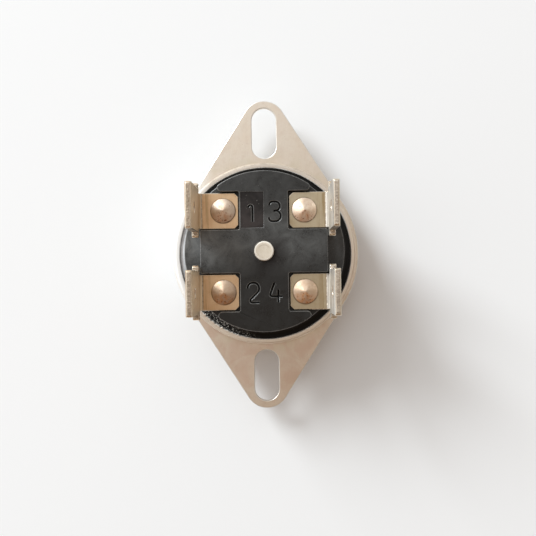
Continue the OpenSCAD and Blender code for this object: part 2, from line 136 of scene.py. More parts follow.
class Finish(Nodes):
    """A finish made of shader nodes, whose patterns lie on the piece's own coordinates in millimetres."""

    def __init__(self, name):
        self.material = bpy.data.materials.new(name)
        self.material.use_nodes = True
        super().__init__(self.material.node_tree)
        place = self.add("ShaderNodeTexCoord")
        self.place = self.mapped(place.outputs["Object"], (1000.0, 1000.0, 1000.0))
        self.around = place.outputs["UV"]

    def mapped(self, vector, scale=(1.0, 1.0, 1.0), turn=0.0):
        """The vector turned by turn degrees about the upright axis and scaled."""
        node = self.add("ShaderNodeMapping")
        self.feed(node.inputs["Vector"], vector)
        node.inputs["Scale"].default_value = scale
        node.inputs["Rotation"].default_value = (0.0, 0.0, math.radians(turn))
        return node.outputs["Vector"]

    def noise(self, size, detail=3.0, rough=0.55, vector=None, distortion=0.0):
        """Cloudy noise from 0 to 1, whose largest lumps are about size millimetres across."""
        node = self.add("ShaderNodeTexNoise")
        self.feed(node.inputs["Vector"], self.place if vector is None else vector)
        node.inputs["Scale"].default_value = 1.0 / size
        node.inputs["Detail"].default_value = detail
        node.inputs["Roughness"].default_value = rough
        node.inputs["Distortion"].default_value = distortion
        return node.outputs["Fac"]

    def span(self, value, low, high, to_low=0.0, to_high=1.0):
        """value, with low to high carried to to_low to to_high and held at the ends."""
        node = self.add("ShaderNodeMapRange", clamp=True)
        self.feed(node.inputs["Value"], value)
        for name, number in (("From Min", low), ("From Max", high), ("To Min", to_low), ("To Max", to_high)):
            node.inputs[name].default_value = number
        return node.outputs["Result"]

    def along(self, axis, vector=None):
        """Millimetres along the axis, from the middle of the part, or the same measure of another vector."""
        node = self.add("ShaderNodeVectorMath", operation="DOT_PRODUCT")
        self.feed(node.inputs[0], self.place if vector is None else vector)
        node.inputs[1].default_value = axis
        return node.outputs["Value"]

    def away(self, x=0.0, y=0.0, axes=(1.0, 1.0, 0.0)):
        """Millimetres from the nearest of four upright lines, at x or -x and y or -y, counted along the
        axes. Without x and y they are one line, the axis of the part."""
        value = self.place
        for operation, other in (("ABSOLUTE", None), ("SUBTRACT", (x, y, 0.0)), ("MULTIPLY", axes),
                                 ("LENGTH", None)):
            node = self.add("ShaderNodeVectorMath", operation=operation)
            self.feed(node.inputs[0], value)
            if other is not None:
                node.inputs[1].default_value = other
            value = node.outputs["Value" if operation == "LENGTH" else "Vector"]
        return value

    def sum(self, *values, operation="ADD"):
        """The values added together, or joined by another operation."""
        total = values[0]
        for value in values[1:]:
            node = self.add("ShaderNodeMath", operation=operation)
            self.feed(node.inputs[0], total)
            self.feed(node.inputs[1], value)
            total = node.outputs[0]
        return total

    def times(self, *values):
        return self.sum(*values, operation="MULTIPLY")

    def scratches(self, turn, width, length, rare):
        """Thin straight marks: noise drawn out a long way along a line that is turned by turn degrees."""
        drawn = self.mapped(self.mapped(self.place, turn=turn), (1.0 / width, 1.0 / length, 1.0 / width))
        return self.span(self.noise(1.0, 1.0, 0.5, drawn), rare, rare + 0.06)

    def streaks(self, scale, low, high, vector=None):
        """Noise drawn out by the given scale along each axis, from 0 to 1."""
        drawn = self.mapped(self.place if vector is None else vector, scale)
        return self.span(self.noise(1.0, 3.0, 0.6, drawn), low, high)

    def bump(self, height, depth_mm, under=None):
        """Relief of depth_mm millimetres where height is 1."""
        node = self.add("ShaderNodeBump")
        node.inputs["Strength"].default_value = 1.0
        node.inputs["Distance"].default_value = depth_mm * MM
        self.feed(node.inputs["Height"], height)
        if under is not None:
            self.feed(node.inputs["Normal"], under)
        return node.outputs["Normal"]

    def shade(self, colour, roughness, normal, metal=0.0, shine=0.5):
        """Joins the shader to the surface. Plain values go straight on the shader's own sockets."""
        node = self.add("ShaderNodeBsdfPrincipled")
        for name, value in (("Base Color", colour), ("Roughness", roughness), ("Normal", normal),
                            ("Metallic", metal), ("Specular IOR Level", shine)):
            self.feed(node.inputs[name], value)
        self.feed(self.add("ShaderNodeOutputMaterial").inputs["Surface"], node.outputs[0])
        return self.material


def painted_sheen_and_shade(f, out, least):
    """Share of its grey that each spot of the body keeps: painted sheen and shade. A painted sheen keeps it
    most in a band across the middle and at the left. Painted shade leaves the front the least share, and the
    rim hollow below the lip little more."""
    across, back = f.along(RIGHT), f.along(BACK)
    return f.times(f.span(back, -5.0, 0.5, least, 1.0), f.span(back, 2.5, 9.5, 1.0, max(least, 0.38)),
                   f.span(across, -10.0, 3.0, 1.0, 0.60), f.span(across, 3.0, 13.0, 1.0, 0.74),
                   f.span(out, *FLARE, 1.0, max(least, 0.25)))


def pin_painted_shadow(f, out):
    """Painted shadow of the reset pin on the body, most to the front right, away from the lamp."""
    return f.times(f.span(out, PIN_R + 0.05, PIN_R + 3.35, 0.85, 0.0),
                   f.span(f.along(FRONT_RIGHT), -1.5, 1.5, 0.25, 1.0))


def rim_painted_glare(f, out, flow):
    """Painted white glare in the hollow of the body's left rim, as uneven as the flow clouds."""
    left = f.along((-1.0, 0.1, 0.0))
    return f.times(f.span(left, 14.2, 16.7), f.span(out, 15.7, 16.5), f.span(flow, 0.25, 0.6, 0.7, 1.0))


def rim_scrapes(f, out):
    """Specks scraped into the body's rim at the front left, where the lip was rolled."""
    front_left = f.along((-0.6, -0.8, 0.0))
    return f.times(f.span(f.noise(0.21, 1.0), 0.60, 0.66), f.span(front_left, 14.2, 15.6),
                   f.span(out, 15.5, 16.0))


def phenolic(name, base, roughness, gloss=0.5, least=0.12, glare_share=0.0):
    """Black moulded phenolic: flow clouds, fine skin grain, a few pale dust specks, painted sheen and shade,
    a painted shadow of the reset pin and scrapes. least is the least share of its grey that the painted shade
    leaves, and the last argument says how strongly a painted white glare lies in the hollow of the left rim.
    The painted pin shadow and the flare of the rim dull its gloss."""
    f = Finish(name)
    out = f.away()
    flow = f.noise(4.0, 4.0, 0.65, distortion=1.2)
    grain = f.noise(0.18, 2.0, 0.6)
    pin_shadow = pin_painted_shadow(f, out)
    specks = f.span(f.noise(0.26, 0.0), 0.845, 0.865)
    colour = f.mix(f.span(flow, 0.35, 0.68), shaded(base, 0.8), tuple(c * 2.0 + 0.004 for c in base))
    colour = f.mix(f.times(f.span(grain, 0.50, 0.75), 0.45), colour, shaded(base, 2.8))
    # Painted sheen across the middle and at the left; painted shade at the front and in the rim hollow
    colour = f.mix(painted_sheen_and_shade(f, out, least), (0.0, 0.0, 0.0), colour)
    # Painted shadow of the reset pin, near black
    colour = f.mix(pin_shadow, colour, (0.006, 0.003, 0.003))
    colour = f.mix(f.times(specks, 0.4), colour, (0.22, 0.21, 0.20))
    # Painted white glare in the hollow of the left rim
    if glare_share:
        colour = f.mix(f.times(rim_painted_glare(f, out, flow), glare_share), colour, (0.88, 0.90, 0.93))
    colour = f.mix(f.times(rim_scrapes(f, out), 0.9), colour, (0.62, 0.60, 0.56))
    rough = f.sum(f.span(flow, 0.3, 0.7, roughness - 0.07, roughness + 0.07),
                  f.span(grain, 0.3, 0.7, -0.05, 0.07))
    normal = f.bump(f.noise(0.8, 3.0, 0.5), 0.014)
    normal = f.bump(grain, 0.004, normal)
    normal = f.bump(f.scratches(28.0, 0.05, 5.0, 0.70), 0.002, normal)
    shine = f.times(f.span(out, *FLARE, gloss, gloss * 0.4), f.span(pin_shadow, 0.0, 1.0, 1.0, 0.25))
    return f.shade(colour, rough, normal, shine=shine)


def left_glare(f):
    """From 0 to 1 towards the left rim of the flange and lip, where a white glare is painted."""
    return f.span(f.along((-1.0, 0.12, 0.0)), 12.5, 16.5)


def with_left_glare(f, colour):
    """The colour, painted almost white towards the left rim: a painted glare."""
    return f.mix(f.times(left_glare(f), 0.95), colour, (0.97, 0.97, 0.96))


def metal_share(f):
    """All metal, but little of it towards the left rim, where the white glare is painted."""
    return f.span(left_glare(f), 0.0, 1.0, 1.0, 0.35)


def rolled_metal(name, bright, dull, roughness, grain_turn=0.0, tarnish=(0.45, 0.36, 0.28), stain=0.25,
                 wear_and_painted_light=None):
    """Rolled sheet: fine grain along one direction, cloudy dulling, blotches of tarnish as strong as stain,
    hair scratches and small pits. The last argument, if given, is a function of f and colour that returns the
    colour with marks of the sheet's own and with painted light."""
    f = Finish(name)
    turned = f.mapped(f.place, turn=grain_turn)
    grain = f.streaks((9.0, 0.22, 9.0), 0.3, 0.7, turned)
    clouds = f.span(f.noise(6.0, 4.0, 0.62), 0.38, 0.66)
    blotch = f.span(f.noise(1.6, 3.0, 0.6), 0.5, 0.75)
    hairs = f.sum(f.scratches(17.0, 0.025, 6.0, 0.69), f.scratches(-38.0, 0.02, 4.0, 0.71),
                  f.scratches(82.0, 0.03, 8.0, 0.71))
    pits = f.span(f.noise(0.30, 1.0), 0.74, 0.80)
    colour = f.mix(clouds, bright, dull)
    colour = f.mix(f.times(grain, 0.22), colour, shaded(dull, 0.82))
    colour = f.mix(f.times(blotch, stain), colour, tarnish)
    colour = f.mix(f.times(pits, 0.5), colour, shaded(tarnish, 0.6))
    if wear_and_painted_light is not None:
        colour = wear_and_painted_light(f, colour)
    rough = f.sum(f.span(clouds, 0.0, 1.0, roughness - 0.04, roughness + 0.06),
                  f.span(grain, 0.0, 1.0, -0.02, 0.05), f.times(hairs, 0.06))
    normal = f.bump(grain, 0.0012)
    normal = f.bump(hairs, 0.002, normal)
    normal = f.bump(f.noise(2.6, 2.0), 0.010, normal)
    return f.shade(colour, rough, normal, metal=metal_share(f))


def turned_metal(name, bright, dull, roughness, rings, rays, mark, wear_and_painted_light):
    """Spun or turned metal, on the UV map of lathe: rings round the axis, rays across them, clouds, and spots
    of the colour mark. The last argument, a function of f, colour and ray, returns the colour with marks of
    the piece's own and with painted light."""
    f = Finish(name)
    ring = f.streaks((rays, rings, 1.0), 0.35, 0.65, f.around)
    ray = f.streaks((14.0, 1.3, 1.0), 0.35, 0.68, f.around)
    clouds = f.span(f.noise(1.1, 3.0, 0.6), 0.42, 0.7)
    spots = f.span(f.noise(0.42, 1.0), 0.70, 0.78)
    colour = f.mix(clouds, bright, dull)
    colour = f.mix(f.times(ray, 0.35), colour, shaded(dull, 0.8))
    colour = f.mix(f.times(spots, 0.6), colour, mark)
    colour = wear_and_painted_light(f, colour, ray)
    rough = f.sum(f.span(clouds, 0.0, 1.0, roughness - 0.03, roughness + 0.06), f.times(ring, 0.05))
    normal = f.bump(ring, 0.0015)
    normal = f.bump(ray, 0.004, normal)
    normal = f.bump(f.noise(0.8, 2.0), 0.006, normal)
    return f.shade(colour, rough, normal, metal=metal_share(f))


def drawn_bend(name, bright, dull, roughness, on_blade=0.12):
    """Sheet drawn round a bend: long ridges along Y, which the forming tool pressed into the plating. They
    fade to the share on_blade on the upright blade above the bend."""
    f = Finish(name)
    height = f.along(UP)
    fade = f.span(height, BEND_END, BLADE_START, 1.0, on_blade)
    level = f.span(height, BEND_END, BLADE_START, 0.0, (1.0 - on_blade) * 0.6)
    ridges = f.sum(f.times(f.streaks((2.9, 0.08, 0.42), 0.42, 0.58), fade), level)
    fine = f.streaks((9.0, 0.30, 1.8), 0.38, 0.62)
    clouds = f.span(f.noise(1.8, 3.0, 0.6), 0.40, 0.68)
    colour = f.mix(f.sum(f.times(ridges, 0.85), f.times(clouds, 0.15)), bright, dull)
    colour = f.mix(f.times(fine, fade, 0.3), colour, shaded(dull, 0.7))
    rough = f.sum(f.span(clouds, 0.0, 1.0, roughness - 0.06, roughness + 0.08), f.times(fine, 0.06))
    normal = f.bump(ridges, 0.050)
    normal = f.bump(fine, 0.012, normal)
    return f.shade(colour, rough, normal, metal=0.4)


def torn_edge(name, bright, dull):
    """Stamped edge of a sheet: short rough tears, with dark lumps among them."""
    f = Finish(name)
    tears = f.streaks((1.4, 3.2, 1.4), 0.36, 0.64)
    lumps = f.noise(0.35, 3.0, 0.7)
    colour = f.mix(tears, dull, bright)
    colour = f.mix(f.times(f.span(lumps, 0.52, 0.70), 0.7), colour, (0.24, 0.19, 0.15))
    rough = f.span(lumps, 0.3, 0.7, 0.30, 0.52)
    normal = f.bump(tears, 0.030)
    normal = f.bump(lumps, 0.045, normal)
    return f.shade(colour, rough, normal, metal=1.0)


def fired_ceramic(name, pale, shade_tone):
    """Unglazed steatite: chalky skin, faint warm clouds, fine grain and a few dark specks. The reset pin's
    edge is painted paler, a painted highlight on its rim, with a faint arc inside it at the back."""
    f = Finish(name)
    clouds = f.span(f.noise(1.8, 4.0, 0.6), 0.35, 0.7)
    grain = f.noise(0.09, 2.0, 0.6)
    specks = f.span(f.noise(0.16, 0.0), 0.79, 0.83)
    colour = f.mix(clouds, pale, shade_tone)
    out = f.away()
    arc = f.times(f.span(out, 0.95, 1.10), f.span(out, 1.15, 1.30, 1.0, 0.0), f.span(f.along(BACK), 0.3, 0.9))
    # Painted highlight round the pin's rim
    edge = f.span(out, PIN_R - 0.40, PIN_R - 0.23)
    colour = f.mix(f.times(arc, 0.7), colour, (0.50, 0.44, 0.36))
    colour = f.mix(f.times(edge, 0.8), colour, (0.95, 0.91, 0.84))
    colour = f.mix(f.times(specks, 0.55), colour, (0.38, 0.32, 0.25))
    rough = f.span(grain, 0.3, 0.7, 0.48, 0.64)
    normal = f.bump(f.noise(0.5, 3.0), 0.010)
    normal = f.bump(grain, 0.003, normal)
    return f.shade(colour, rough, normal, shine=0.4)


def moulding(name, base, pale, roughness):
    """Plain moulded plastic or fibre board: soft clouds, fibres and a fine skin."""
    f = Finish(name)
    clouds = f.span(f.noise(2.4, 4.0, 0.6, distortion=0.6), 0.35, 0.68)
    fibres = f.streaks((5.0, 1.2, 5.0), 0.5, 0.75)
    grain = f.noise(0.14, 2.0)
    colour = f.mix(clouds, base, pale)
    colour = f.mix(f.times(fibres, 0.25), colour, shaded(base, 0.7))
    rough = f.span(grain, 0.3, 0.7, roughness - 0.06, roughness + 0.08)
    normal = f.bump(grain, 0.003, f.bump(fibres, 0.003))
    return f.shade(colour, rough, normal)


def plate_marks_and_shade(f, colour):
    """Painted shade in an uneven ring round the rivet head, where it meets the plate, drawing lines along Y
    where the sheet runs into its bend, and a little darker, browner tone towards the front."""
    near_bend = f.times(f.span(f.away(axes=RIGHT), 9.8, 11.4),
                        f.span(f.along(UP), BEND_END - 0.8, BEND_END, 1.0, 0.1))
    lines = f.times(f.streaks((2.4, 0.08, 0.5), 0.44, 0.56), near_bend, 0.75)
    front_darkening = f.span(f.along(FRONT), 0.0, 6.0, 0.0, 0.10)
    uneven = f.span(f.noise(2.2, 2.0), 0.38, 0.58, 0.15, 0.75)
    # Painted shade in a ring round the rivet head, where it meets the plate
    ring_shade = f.times(f.span(f.away(*RIVET_AT), HEAD_R - 0.01, HEAD_R + 0.17, 1.0, 0.0), uneven)
    colour = f.mix(lines, colour, (0.36, 0.25, 0.13))
    colour = f.mix(front_darkening, colour, (0.22, 0.14, 0.07))
    return f.mix(ring_shade, colour, (0.10, 0.06, 0.035))


def flange_tints_and_reflections(f, colour):
    """Pinkish-brown clouds, most on the front ear: a painted reflection of the warm room in front. A
    yellow-green cast on the sheet beside the rolled lip, and painted white glare at the left."""
    cast = f.times(f.span(f.away(), LIP_R + 0.05, LIP_R + 3.65, 0.45, 0.0),
                   f.span(f.noise(3.4, 3.0), 0.40, 0.60))
    front = f.span(f.along(FRONT), 3.0, 16.0, 0.25, 1.0)
    tip = f.span(f.along(FRONT), EAR_END - 5.6, EAR_END - 0.6, 1.0, 0.3)
    # Painted reflection of the warm room, most on the front ear
    pink_reflection = f.times(f.span(f.noise(4.5, 3.0, 0.6, distortion=0.8), 0.40, 0.62, 0.20, 0.70), front, tip)
    colour = f.mix(cast, colour, (0.72, 0.67, 0.50))
    return with_left_glare(f, f.mix(pink_reflection, colour, (0.74, 0.565, 0.465)))


def lip_painted_light(f, colour, ray):
    """Painted paler towards the front and right, which face away from the lamp: painted light. Painted white
    glare at the left.
    """
    # Painted light on the front and right, which face away from the lamp
    front_right_light = f.span(f.along(FRONT_RIGHT), -6.0, 12.0, 0.0, 0.9)
    return with_left_glare(f, f.mix(front_right_light, colour, (0.95, 0.86, 0.75)))


def rivet_marks_and_painted_light(f, colour, ray):
    """Warm copper tone in rays, most towards the front: partly copper showing through the plating, mostly a
    painted reflection of the brown room in front. Brown-red burns there, and painted shade at the edge of the
    head. The front pair is browner. The angle round the head runs from 0 to 1 anticlockwise from +X."""
    uneven = f.span(f.noise(2.2, 2.0), 0.38, 0.58, 0.1, 0.7)
    # Painted shade along the edge of the head
    ring_shade = f.times(f.span(f.away(*RIVET_AT), HEAD_R - 0.15, HEAD_R - 0.02), uneven)
    angle = f.along(RIGHT, f.around)
    front = f.times(f.span(angle, 0.50, 0.64), f.span(angle, 0.84, 0.98, 1.0, 0.0))
    front_pair = f.span(f.along(FRONT), -3.0, 3.0)
    # Warm tone on the front half of each head: a painted reflection of the brown room in front
    copper = f.mix(front_pair, (0.76, 0.50, 0.34), (0.72, 0.39, 0.20))
    copper_and_reflection = f.times(f.sum(f.times(ray, 0.8), 0.2), f.sum(f.times(front, 0.9), 0.1))
    burns = f.times(f.span(f.noise(0.34, 1.0), 0.60, 0.68), front, 0.75)
    colour = f.mix(f.times(front_pair, 0.50), colour, (0.49, 0.34, 0.22))
    colour = f.mix(copper_and_reflection, colour, copper)
    colour = f.mix(burns, colour, (0.33, 0.10, 0.04))
    return f.mix(ring_shade, colour, (0.14, 0.08, 0.05))


FLANGE = rolled_metal("flange_satin", (0.92, 0.845, 0.745), (0.84, 0.75, 0.635), roughness=0.34,
                      grain_turn=8.0, tarnish=(0.66, 0.53, 0.42), stain=0.30, wear_and_painted_light=flange_tints_and_reflections)
# Paler copy of the flange finish for its eased edges: a painted highlight
FLANGE_EDGE = rolled_metal("flange_edge_painted_highlight", (0.94, 0.92, 0.88), (0.82, 0.78, 0.72), roughness=0.34)
CAP = turned_metal("cap_drawn_aluminium", (0.86, 0.79, 0.71), (0.77, 0.69, 0.60), roughness=0.34,
                   rings=40.0, rays=9.0, mark=(0.55, 0.48, 0.40), wear_and_painted_light=lip_painted_light)
# Darker copy of the cap's finish on the rolled bend: painted shade that dims its highlight
ROLLED = turned_metal("cap_rolled_bend", (0.72, 0.645, 0.555), (0.63, 0.56, 0.48), roughness=0.72,
                      rings=40.0, rays=9.0, mark=(0.50, 0.42, 0.35), wear_and_painted_light=lip_painted_light)
# Near-white finish on the lip's inner edge: a painted highlight
EDGE_HIGHLIGHT = drawn_bend("cap_edge_painted_highlight", (0.98, 0.96, 0.93), (0.84, 0.80, 0.75), roughness=0.45)
BODY = phenolic("phenolic_black", (0.068, 0.070, 0.070), roughness=0.34, glare_share=0.95)
# Paler, glossier phenolic on eased edges and the digits' shoulders: a painted highlight
BODY_EDGE = phenolic("phenolic_edge_painted_highlight", (0.13, 0.13, 0.128), roughness=0.30, gloss=0.9, least=0.85)
# Near-black phenolic in the digits' grooves: painted shade
GROOVE = phenolic("phenolic_engraving_painted_shade", (0.005, 0.005, 0.005), roughness=0.55, gloss=0.15)
INSERT = phenolic("phenolic_insert", (0.033, 0.026, 0.025), roughness=0.50, gloss=0.30)
BODY_FINISHES = (BODY, BODY_EDGE, INSERT, GROOVE)
# Paler copy of the plating for the terminals' eased edges: a painted highlight
PLATE_EDGE = rolled_metal("terminal_edge_painted_highlight", (0.90, 0.82, 0.70), (0.70, 0.58, 0.44), roughness=0.25,
                          tarnish=(0.55, 0.40, 0.25))
# The plating of the left terminals has gone browner than that of the right ones: plate, formed bend, cut edge
# Drawn bends paler than their plates: painted light, and on the right a painted lamp reflection
SHEET = {
    "left": (rolled_metal("left_plating", (0.85, 0.62, 0.405), (0.74, 0.50, 0.30), roughness=0.33,
                          tarnish=(0.58, 0.34, 0.16), stain=0.35, wear_and_painted_light=plate_marks_and_shade),
             drawn_bend("left_formed_bend", (1.0, 0.87, 0.66), (0.84, 0.65, 0.43), roughness=0.42),
             torn_edge("left_cut_edge", (0.59, 0.49, 0.39), (0.33, 0.265, 0.20))),
    "right": (rolled_metal("right_plating", (0.64, 0.56, 0.415), (0.54, 0.45, 0.31), roughness=0.33,
                           tarnish=(0.46, 0.35, 0.20), stain=0.35, wear_and_painted_light=plate_marks_and_shade),
              drawn_bend("right_formed_bend", (0.95, 0.92, 0.86), (0.42, 0.38, 0.33), roughness=0.42,
                         on_blade=0.6),
              torn_edge("right_cut_edge", (0.74, 0.67, 0.58), (0.46, 0.39, 0.32))),
}
RIVET = turned_metal("rivet_spun_head", (0.86, 0.74, 0.62), (0.75, 0.60, 0.47), roughness=0.55,
                     rings=14.0, rays=5.0, mark=(0.36, 0.12, 0.05), wear_and_painted_light=rivet_marks_and_painted_light)
PIN = fired_ceramic("ceramic_off_white", (0.80, 0.73, 0.62), (0.70, 0.63, 0.52))
GUIDE = moulding("guide_brown_moulding", (0.16, 0.085, 0.050), (0.22, 0.125, 0.075), roughness=0.45)
BAR = moulding("bar_cream_moulding", (0.74, 0.70, 0.62), (0.82, 0.79, 0.72), roughness=0.42)
DISC = rolled_metal("disc_bimetal", (0.66, 0.62, 0.54), (0.56, 0.50, 0.42), roughness=0.30,
                    grain_turn=24.0)
SPRING = rolled_metal("leaf_spring_copper", (0.88, 0.55, 0.36), (0.74, 0.42, 0.26), roughness=0.26,
                      tarnish=(0.42, 0.22, 0.13), stain=0.30)
BRASS = rolled_metal("bracket_brass", (0.84, 0.68, 0.38), (0.70, 0.52, 0.26), roughness=0.26,
                     tarnish=(0.42, 0.28, 0.14), stain=0.30)
SILVER = rolled_metal("contact_silver", (0.90, 0.89, 0.87), (0.76, 0.74, 0.71), roughness=0.30,
                      grain_turn=45.0)

BODY_OF = {node: body for body, nodes in frame["record"]["behaviour"]["bodies"].items() for node in nodes}


# Pieces
def link(name, mesh, node, *materials):
    """Makes the mesh a piece that stands for the CAD node and rides on its body."""
    piece = bpy.data.objects.new(name, mesh)
    bpy.context.scene.collection.objects.link(piece)
    for material in materials:
        mesh.materials.append(material)
    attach(piece, BODY_OF[node])
    return piece


def merged_copy(node, name):
    """The CAD node's mesh as one skin, with its flat faces joined."""
    mesh = frame["nodes"][node].data.copy()
    mesh.name = name
    mesh.materials.clear()
    skin = bmesh.new()
    skin.from_mesh(mesh)
    bmesh.ops.remove_doubles(skin, verts=skin.verts[:], dist=0.002 * MM)
    bmesh.ops.dissolve_limit(skin, angle_limit=FLAT, verts=skin.verts[:], edges=skin.edges[:])
    for face in skin.faces:
        face.smooth = True
        face.material_index = 0
    skin.to_mesh(mesh)
    skin.free()
    return mesh


def ease(piece, width, limit="ANGLE"):
    """Eases the piece's sharp edges by width millimetres, in its second finish, and keeps its broad faces
    flat."""
    bevel = piece.modifiers.new("eased_edges", "BEVEL")
    bevel.width = width * MM
    bevel.segments = 3
    bevel.limit_method = limit
    bevel.angle_limit = SHARP
    bevel.material = 1
    bevel.use_clamp_overlap = False
    flat = piece.modifiers.new("flat_faces", "WEIGHTED_NORMAL")
    flat.weight = 100


def eased(node, name, face_finish, edge_finish, width):
    """The CAD node with its sharp edges eased by width millimetres, the eased strips in their own finish."""
    piece = link(name, merged_copy(node, name), node, face_finish, edge_finish)
    ease(piece, width)
    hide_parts(node)
    return piece


def lathe(name, profile, centre, turns, shift):
    """Closed surface of a profile carried round an upright axis: the point at angle a and profile point p is
    centre + (r cos a, r sin a, z), where (r, z) is the profile at p in millimetres. The profile starts and
    ends on the axis. shift(r, z, a) returns the changed r and z. The UV map has the angle along U, from 0 to
    1, and the millimetres along the profile along V."""
    profile = np.asarray(profile, float)
    angle = np.linspace(0.0, 2.0 * math.pi, turns, endpoint=False)
    r, a = np.meshgrid(profile[1:-1, 0], angle, indexing="ij")
    z = np.repeat(profile[1:-1, 1:2], turns, axis=1)
    r, z = shift(r, z, a)
    rows = len(profile) - 2
    ring = np.stack([centre[0] + r * np.cos(a), centre[1] + r * np.sin(a), z], -1).reshape(-1, 3)
    poles = np.array([[centre[0], centre[1], profile[0, 1]], [centre[0], centre[1], profile[-1, 1]]])
    points = np.concatenate([ring, poles]) * MM
    i = np.arange(turns)
    j = (i + 1) % turns
    row = np.arange(rows - 1)[:, None] * turns
    quads = np.stack([row + i, row + j, row + turns + j, row + turns + i], -1).reshape(-1, 4)
    first, last = rows * turns, rows * turns + 1
    end = (rows - 1) * turns
    fans = np.concatenate([np.stack([np.full(turns, first), j, i], -1),
                           np.stack([np.full(turns, last), end + i, end + j], -1)])
    mesh = bpy.data.meshes.new(name)
    mesh.from_pydata(points.tolist(), [], quads.tolist() + fans.tolist())
    along = np.concatenate([[0.0], np.cumsum(np.hypot(*np.diff(profile, axis=0).T))])
    quad_u = np.stack([i, i + 1, i + 1, i], -1) / turns
    quad_u = np.broadcast_to(quad_u, (rows - 1, turns, 4))
    low, high = along[1:-2], along[2:-1]
    quad_v = np.broadcast_to(np.stack([low, low, high, high], -1)[:, None, :], (rows - 1, turns, 4))
    fan_u = np.concatenate([np.stack([i + 0.5, i + 1, i], -1), np.stack([i + 0.5, i, i + 1], -1)]) / turns
    fan_v = np.concatenate([np.tile([along[0], along[1], along[1]], (turns, 1)),
                            np.tile([along[-1], along[-2], along[-2]], (turns, 1))])
    uv = np.concatenate([np.stack(pair, -1).reshape(-1) for pair in ((quad_u, quad_v), (fan_u, fan_v))])
    mesh.uv_layers.new(name="around").data.foreach_set("uv", uv)
    mesh.shade_smooth()
    mesh.set_sharp_from_angle(angle=math.radians(50.0))
    mesh.update()
    return mesh


def rounded(points, radii, steps=6):
    """The path through the points, with each inner corner turned into an arc of its own radius: the arc's
    middle lies on the corner's half line, and its ends lie where it touches the two straight runs."""
    points = np.asarray(points, float)
    path = [points[:1]]
    for a, b, c, radius in zip(points[:-2], points[1:-1], points[2:], radii):
        if radius == 0:
            path.append(b[None])
            continue
        u, v = (a - b) / np.hypot(*(a - b)), (c - b) / np.hypot(*(c - b))
        half = math.acos(float(np.clip(u @ v, -1, 1))) / 2
        w = (u + v) / np.hypot(*(u + v))
        middle = b + w * radius / math.sin(half)
        start = b + u * radius / math.tan(half) - middle
        end = b + v * radius / math.tan(half) - middle
        first = math.atan2(start[1], start[0])
        sweep = (math.atan2(end[1], end[0]) - first + math.pi) % (2 * math.pi) - math.pi
        t = first + sweep * np.linspace(0, 1, steps + 1)
        path.append(middle + radius * np.stack([np.cos(t), np.sin(t)], -1))
    path.append(points[-1:])
    return np.concatenate(path)


def baked(piece):
    """The piece's mesh with its modifiers worked in, in place of the old mesh and modifiers."""
    bpy.context.view_layer.update()
    graph = bpy.context.evaluated_depsgraph_get()
    mesh = bpy.data.meshes.new_from_object(piece.evaluated_get(graph), depsgraph=graph)
    piece.modifiers.clear()
    piece.data = mesh
    return mesh


def faces_of(mesh):
    """Middle, in millimetres, and normal of every face, one row a face."""
    count = len(mesh.polygons)
    middle, normal = np.zeros(count * 3), np.zeros(count * 3)
    mesh.polygons.foreach_get("center", middle)
    mesh.polygons.foreach_get("normal", normal)
    return middle.reshape(-1, 3) / MM, normal.reshape(-1, 3)


def finish_faces(mesh, chosen, material):
    """Gives the chosen faces the material, which is one of the mesh's own."""
    numbers = np.zeros(len(mesh.polygons), int)
    mesh.polygons.foreach_get("material_index", numbers)
    numbers[chosen] = mesh.materials.find(material.name)
    mesh.polygons.foreach_set("material_index", numbers)
    mesh.update()


# Centre lines of the digits, one digit high, with the radius that rounds each inner corner
DIGITS = {
    "1": [([[-0.17, 0.74], [0.06, 1.0], [0.06, 0.0]], [0.10])],
    "2": [([[-0.29, 0.72], [-0.29, 1.0], [0.29, 1.0], [0.29, 0.58], [-0.30, 0.0], [0.32, 0.0]],
           [0.27, 0.27, 0.22, 0.10])],
    "3": [([[-0.27, 0.82], [-0.27, 1.0], [0.26, 1.0], [0.26, 0.54], [-0.06, 0.54]], [0.17, 0.22, 0.21]),
          ([[-0.06, 0.54], [0.30, 0.54], [0.30, 0.0], [-0.30, 0.0], [-0.30, 0.20]], [0.25, 0.26, 0.19])],
    "4": [([[0.13, 0.64], [0.13, 0.0]], []),
          ([[-0.06, 1.0], [-0.32, 0.30], [0.34, 0.30]], [0.10])],
}
# Each digit's middle and the height of the face that it is sunk into, then their height, depth and stroke
DIGIT_PLACES = (("1", -2.3, 7.4, BODY_TOP - RECESS_D), ("3", 2.1, 7.4, BODY_TOP),
                ("2", -2.1, -7.8, BODY_TOP), ("4", 2.1, -7.8, BODY_TOP))
DIGIT_H, DIGIT_D, STROKE_W = 3.7, 0.30, 0.56


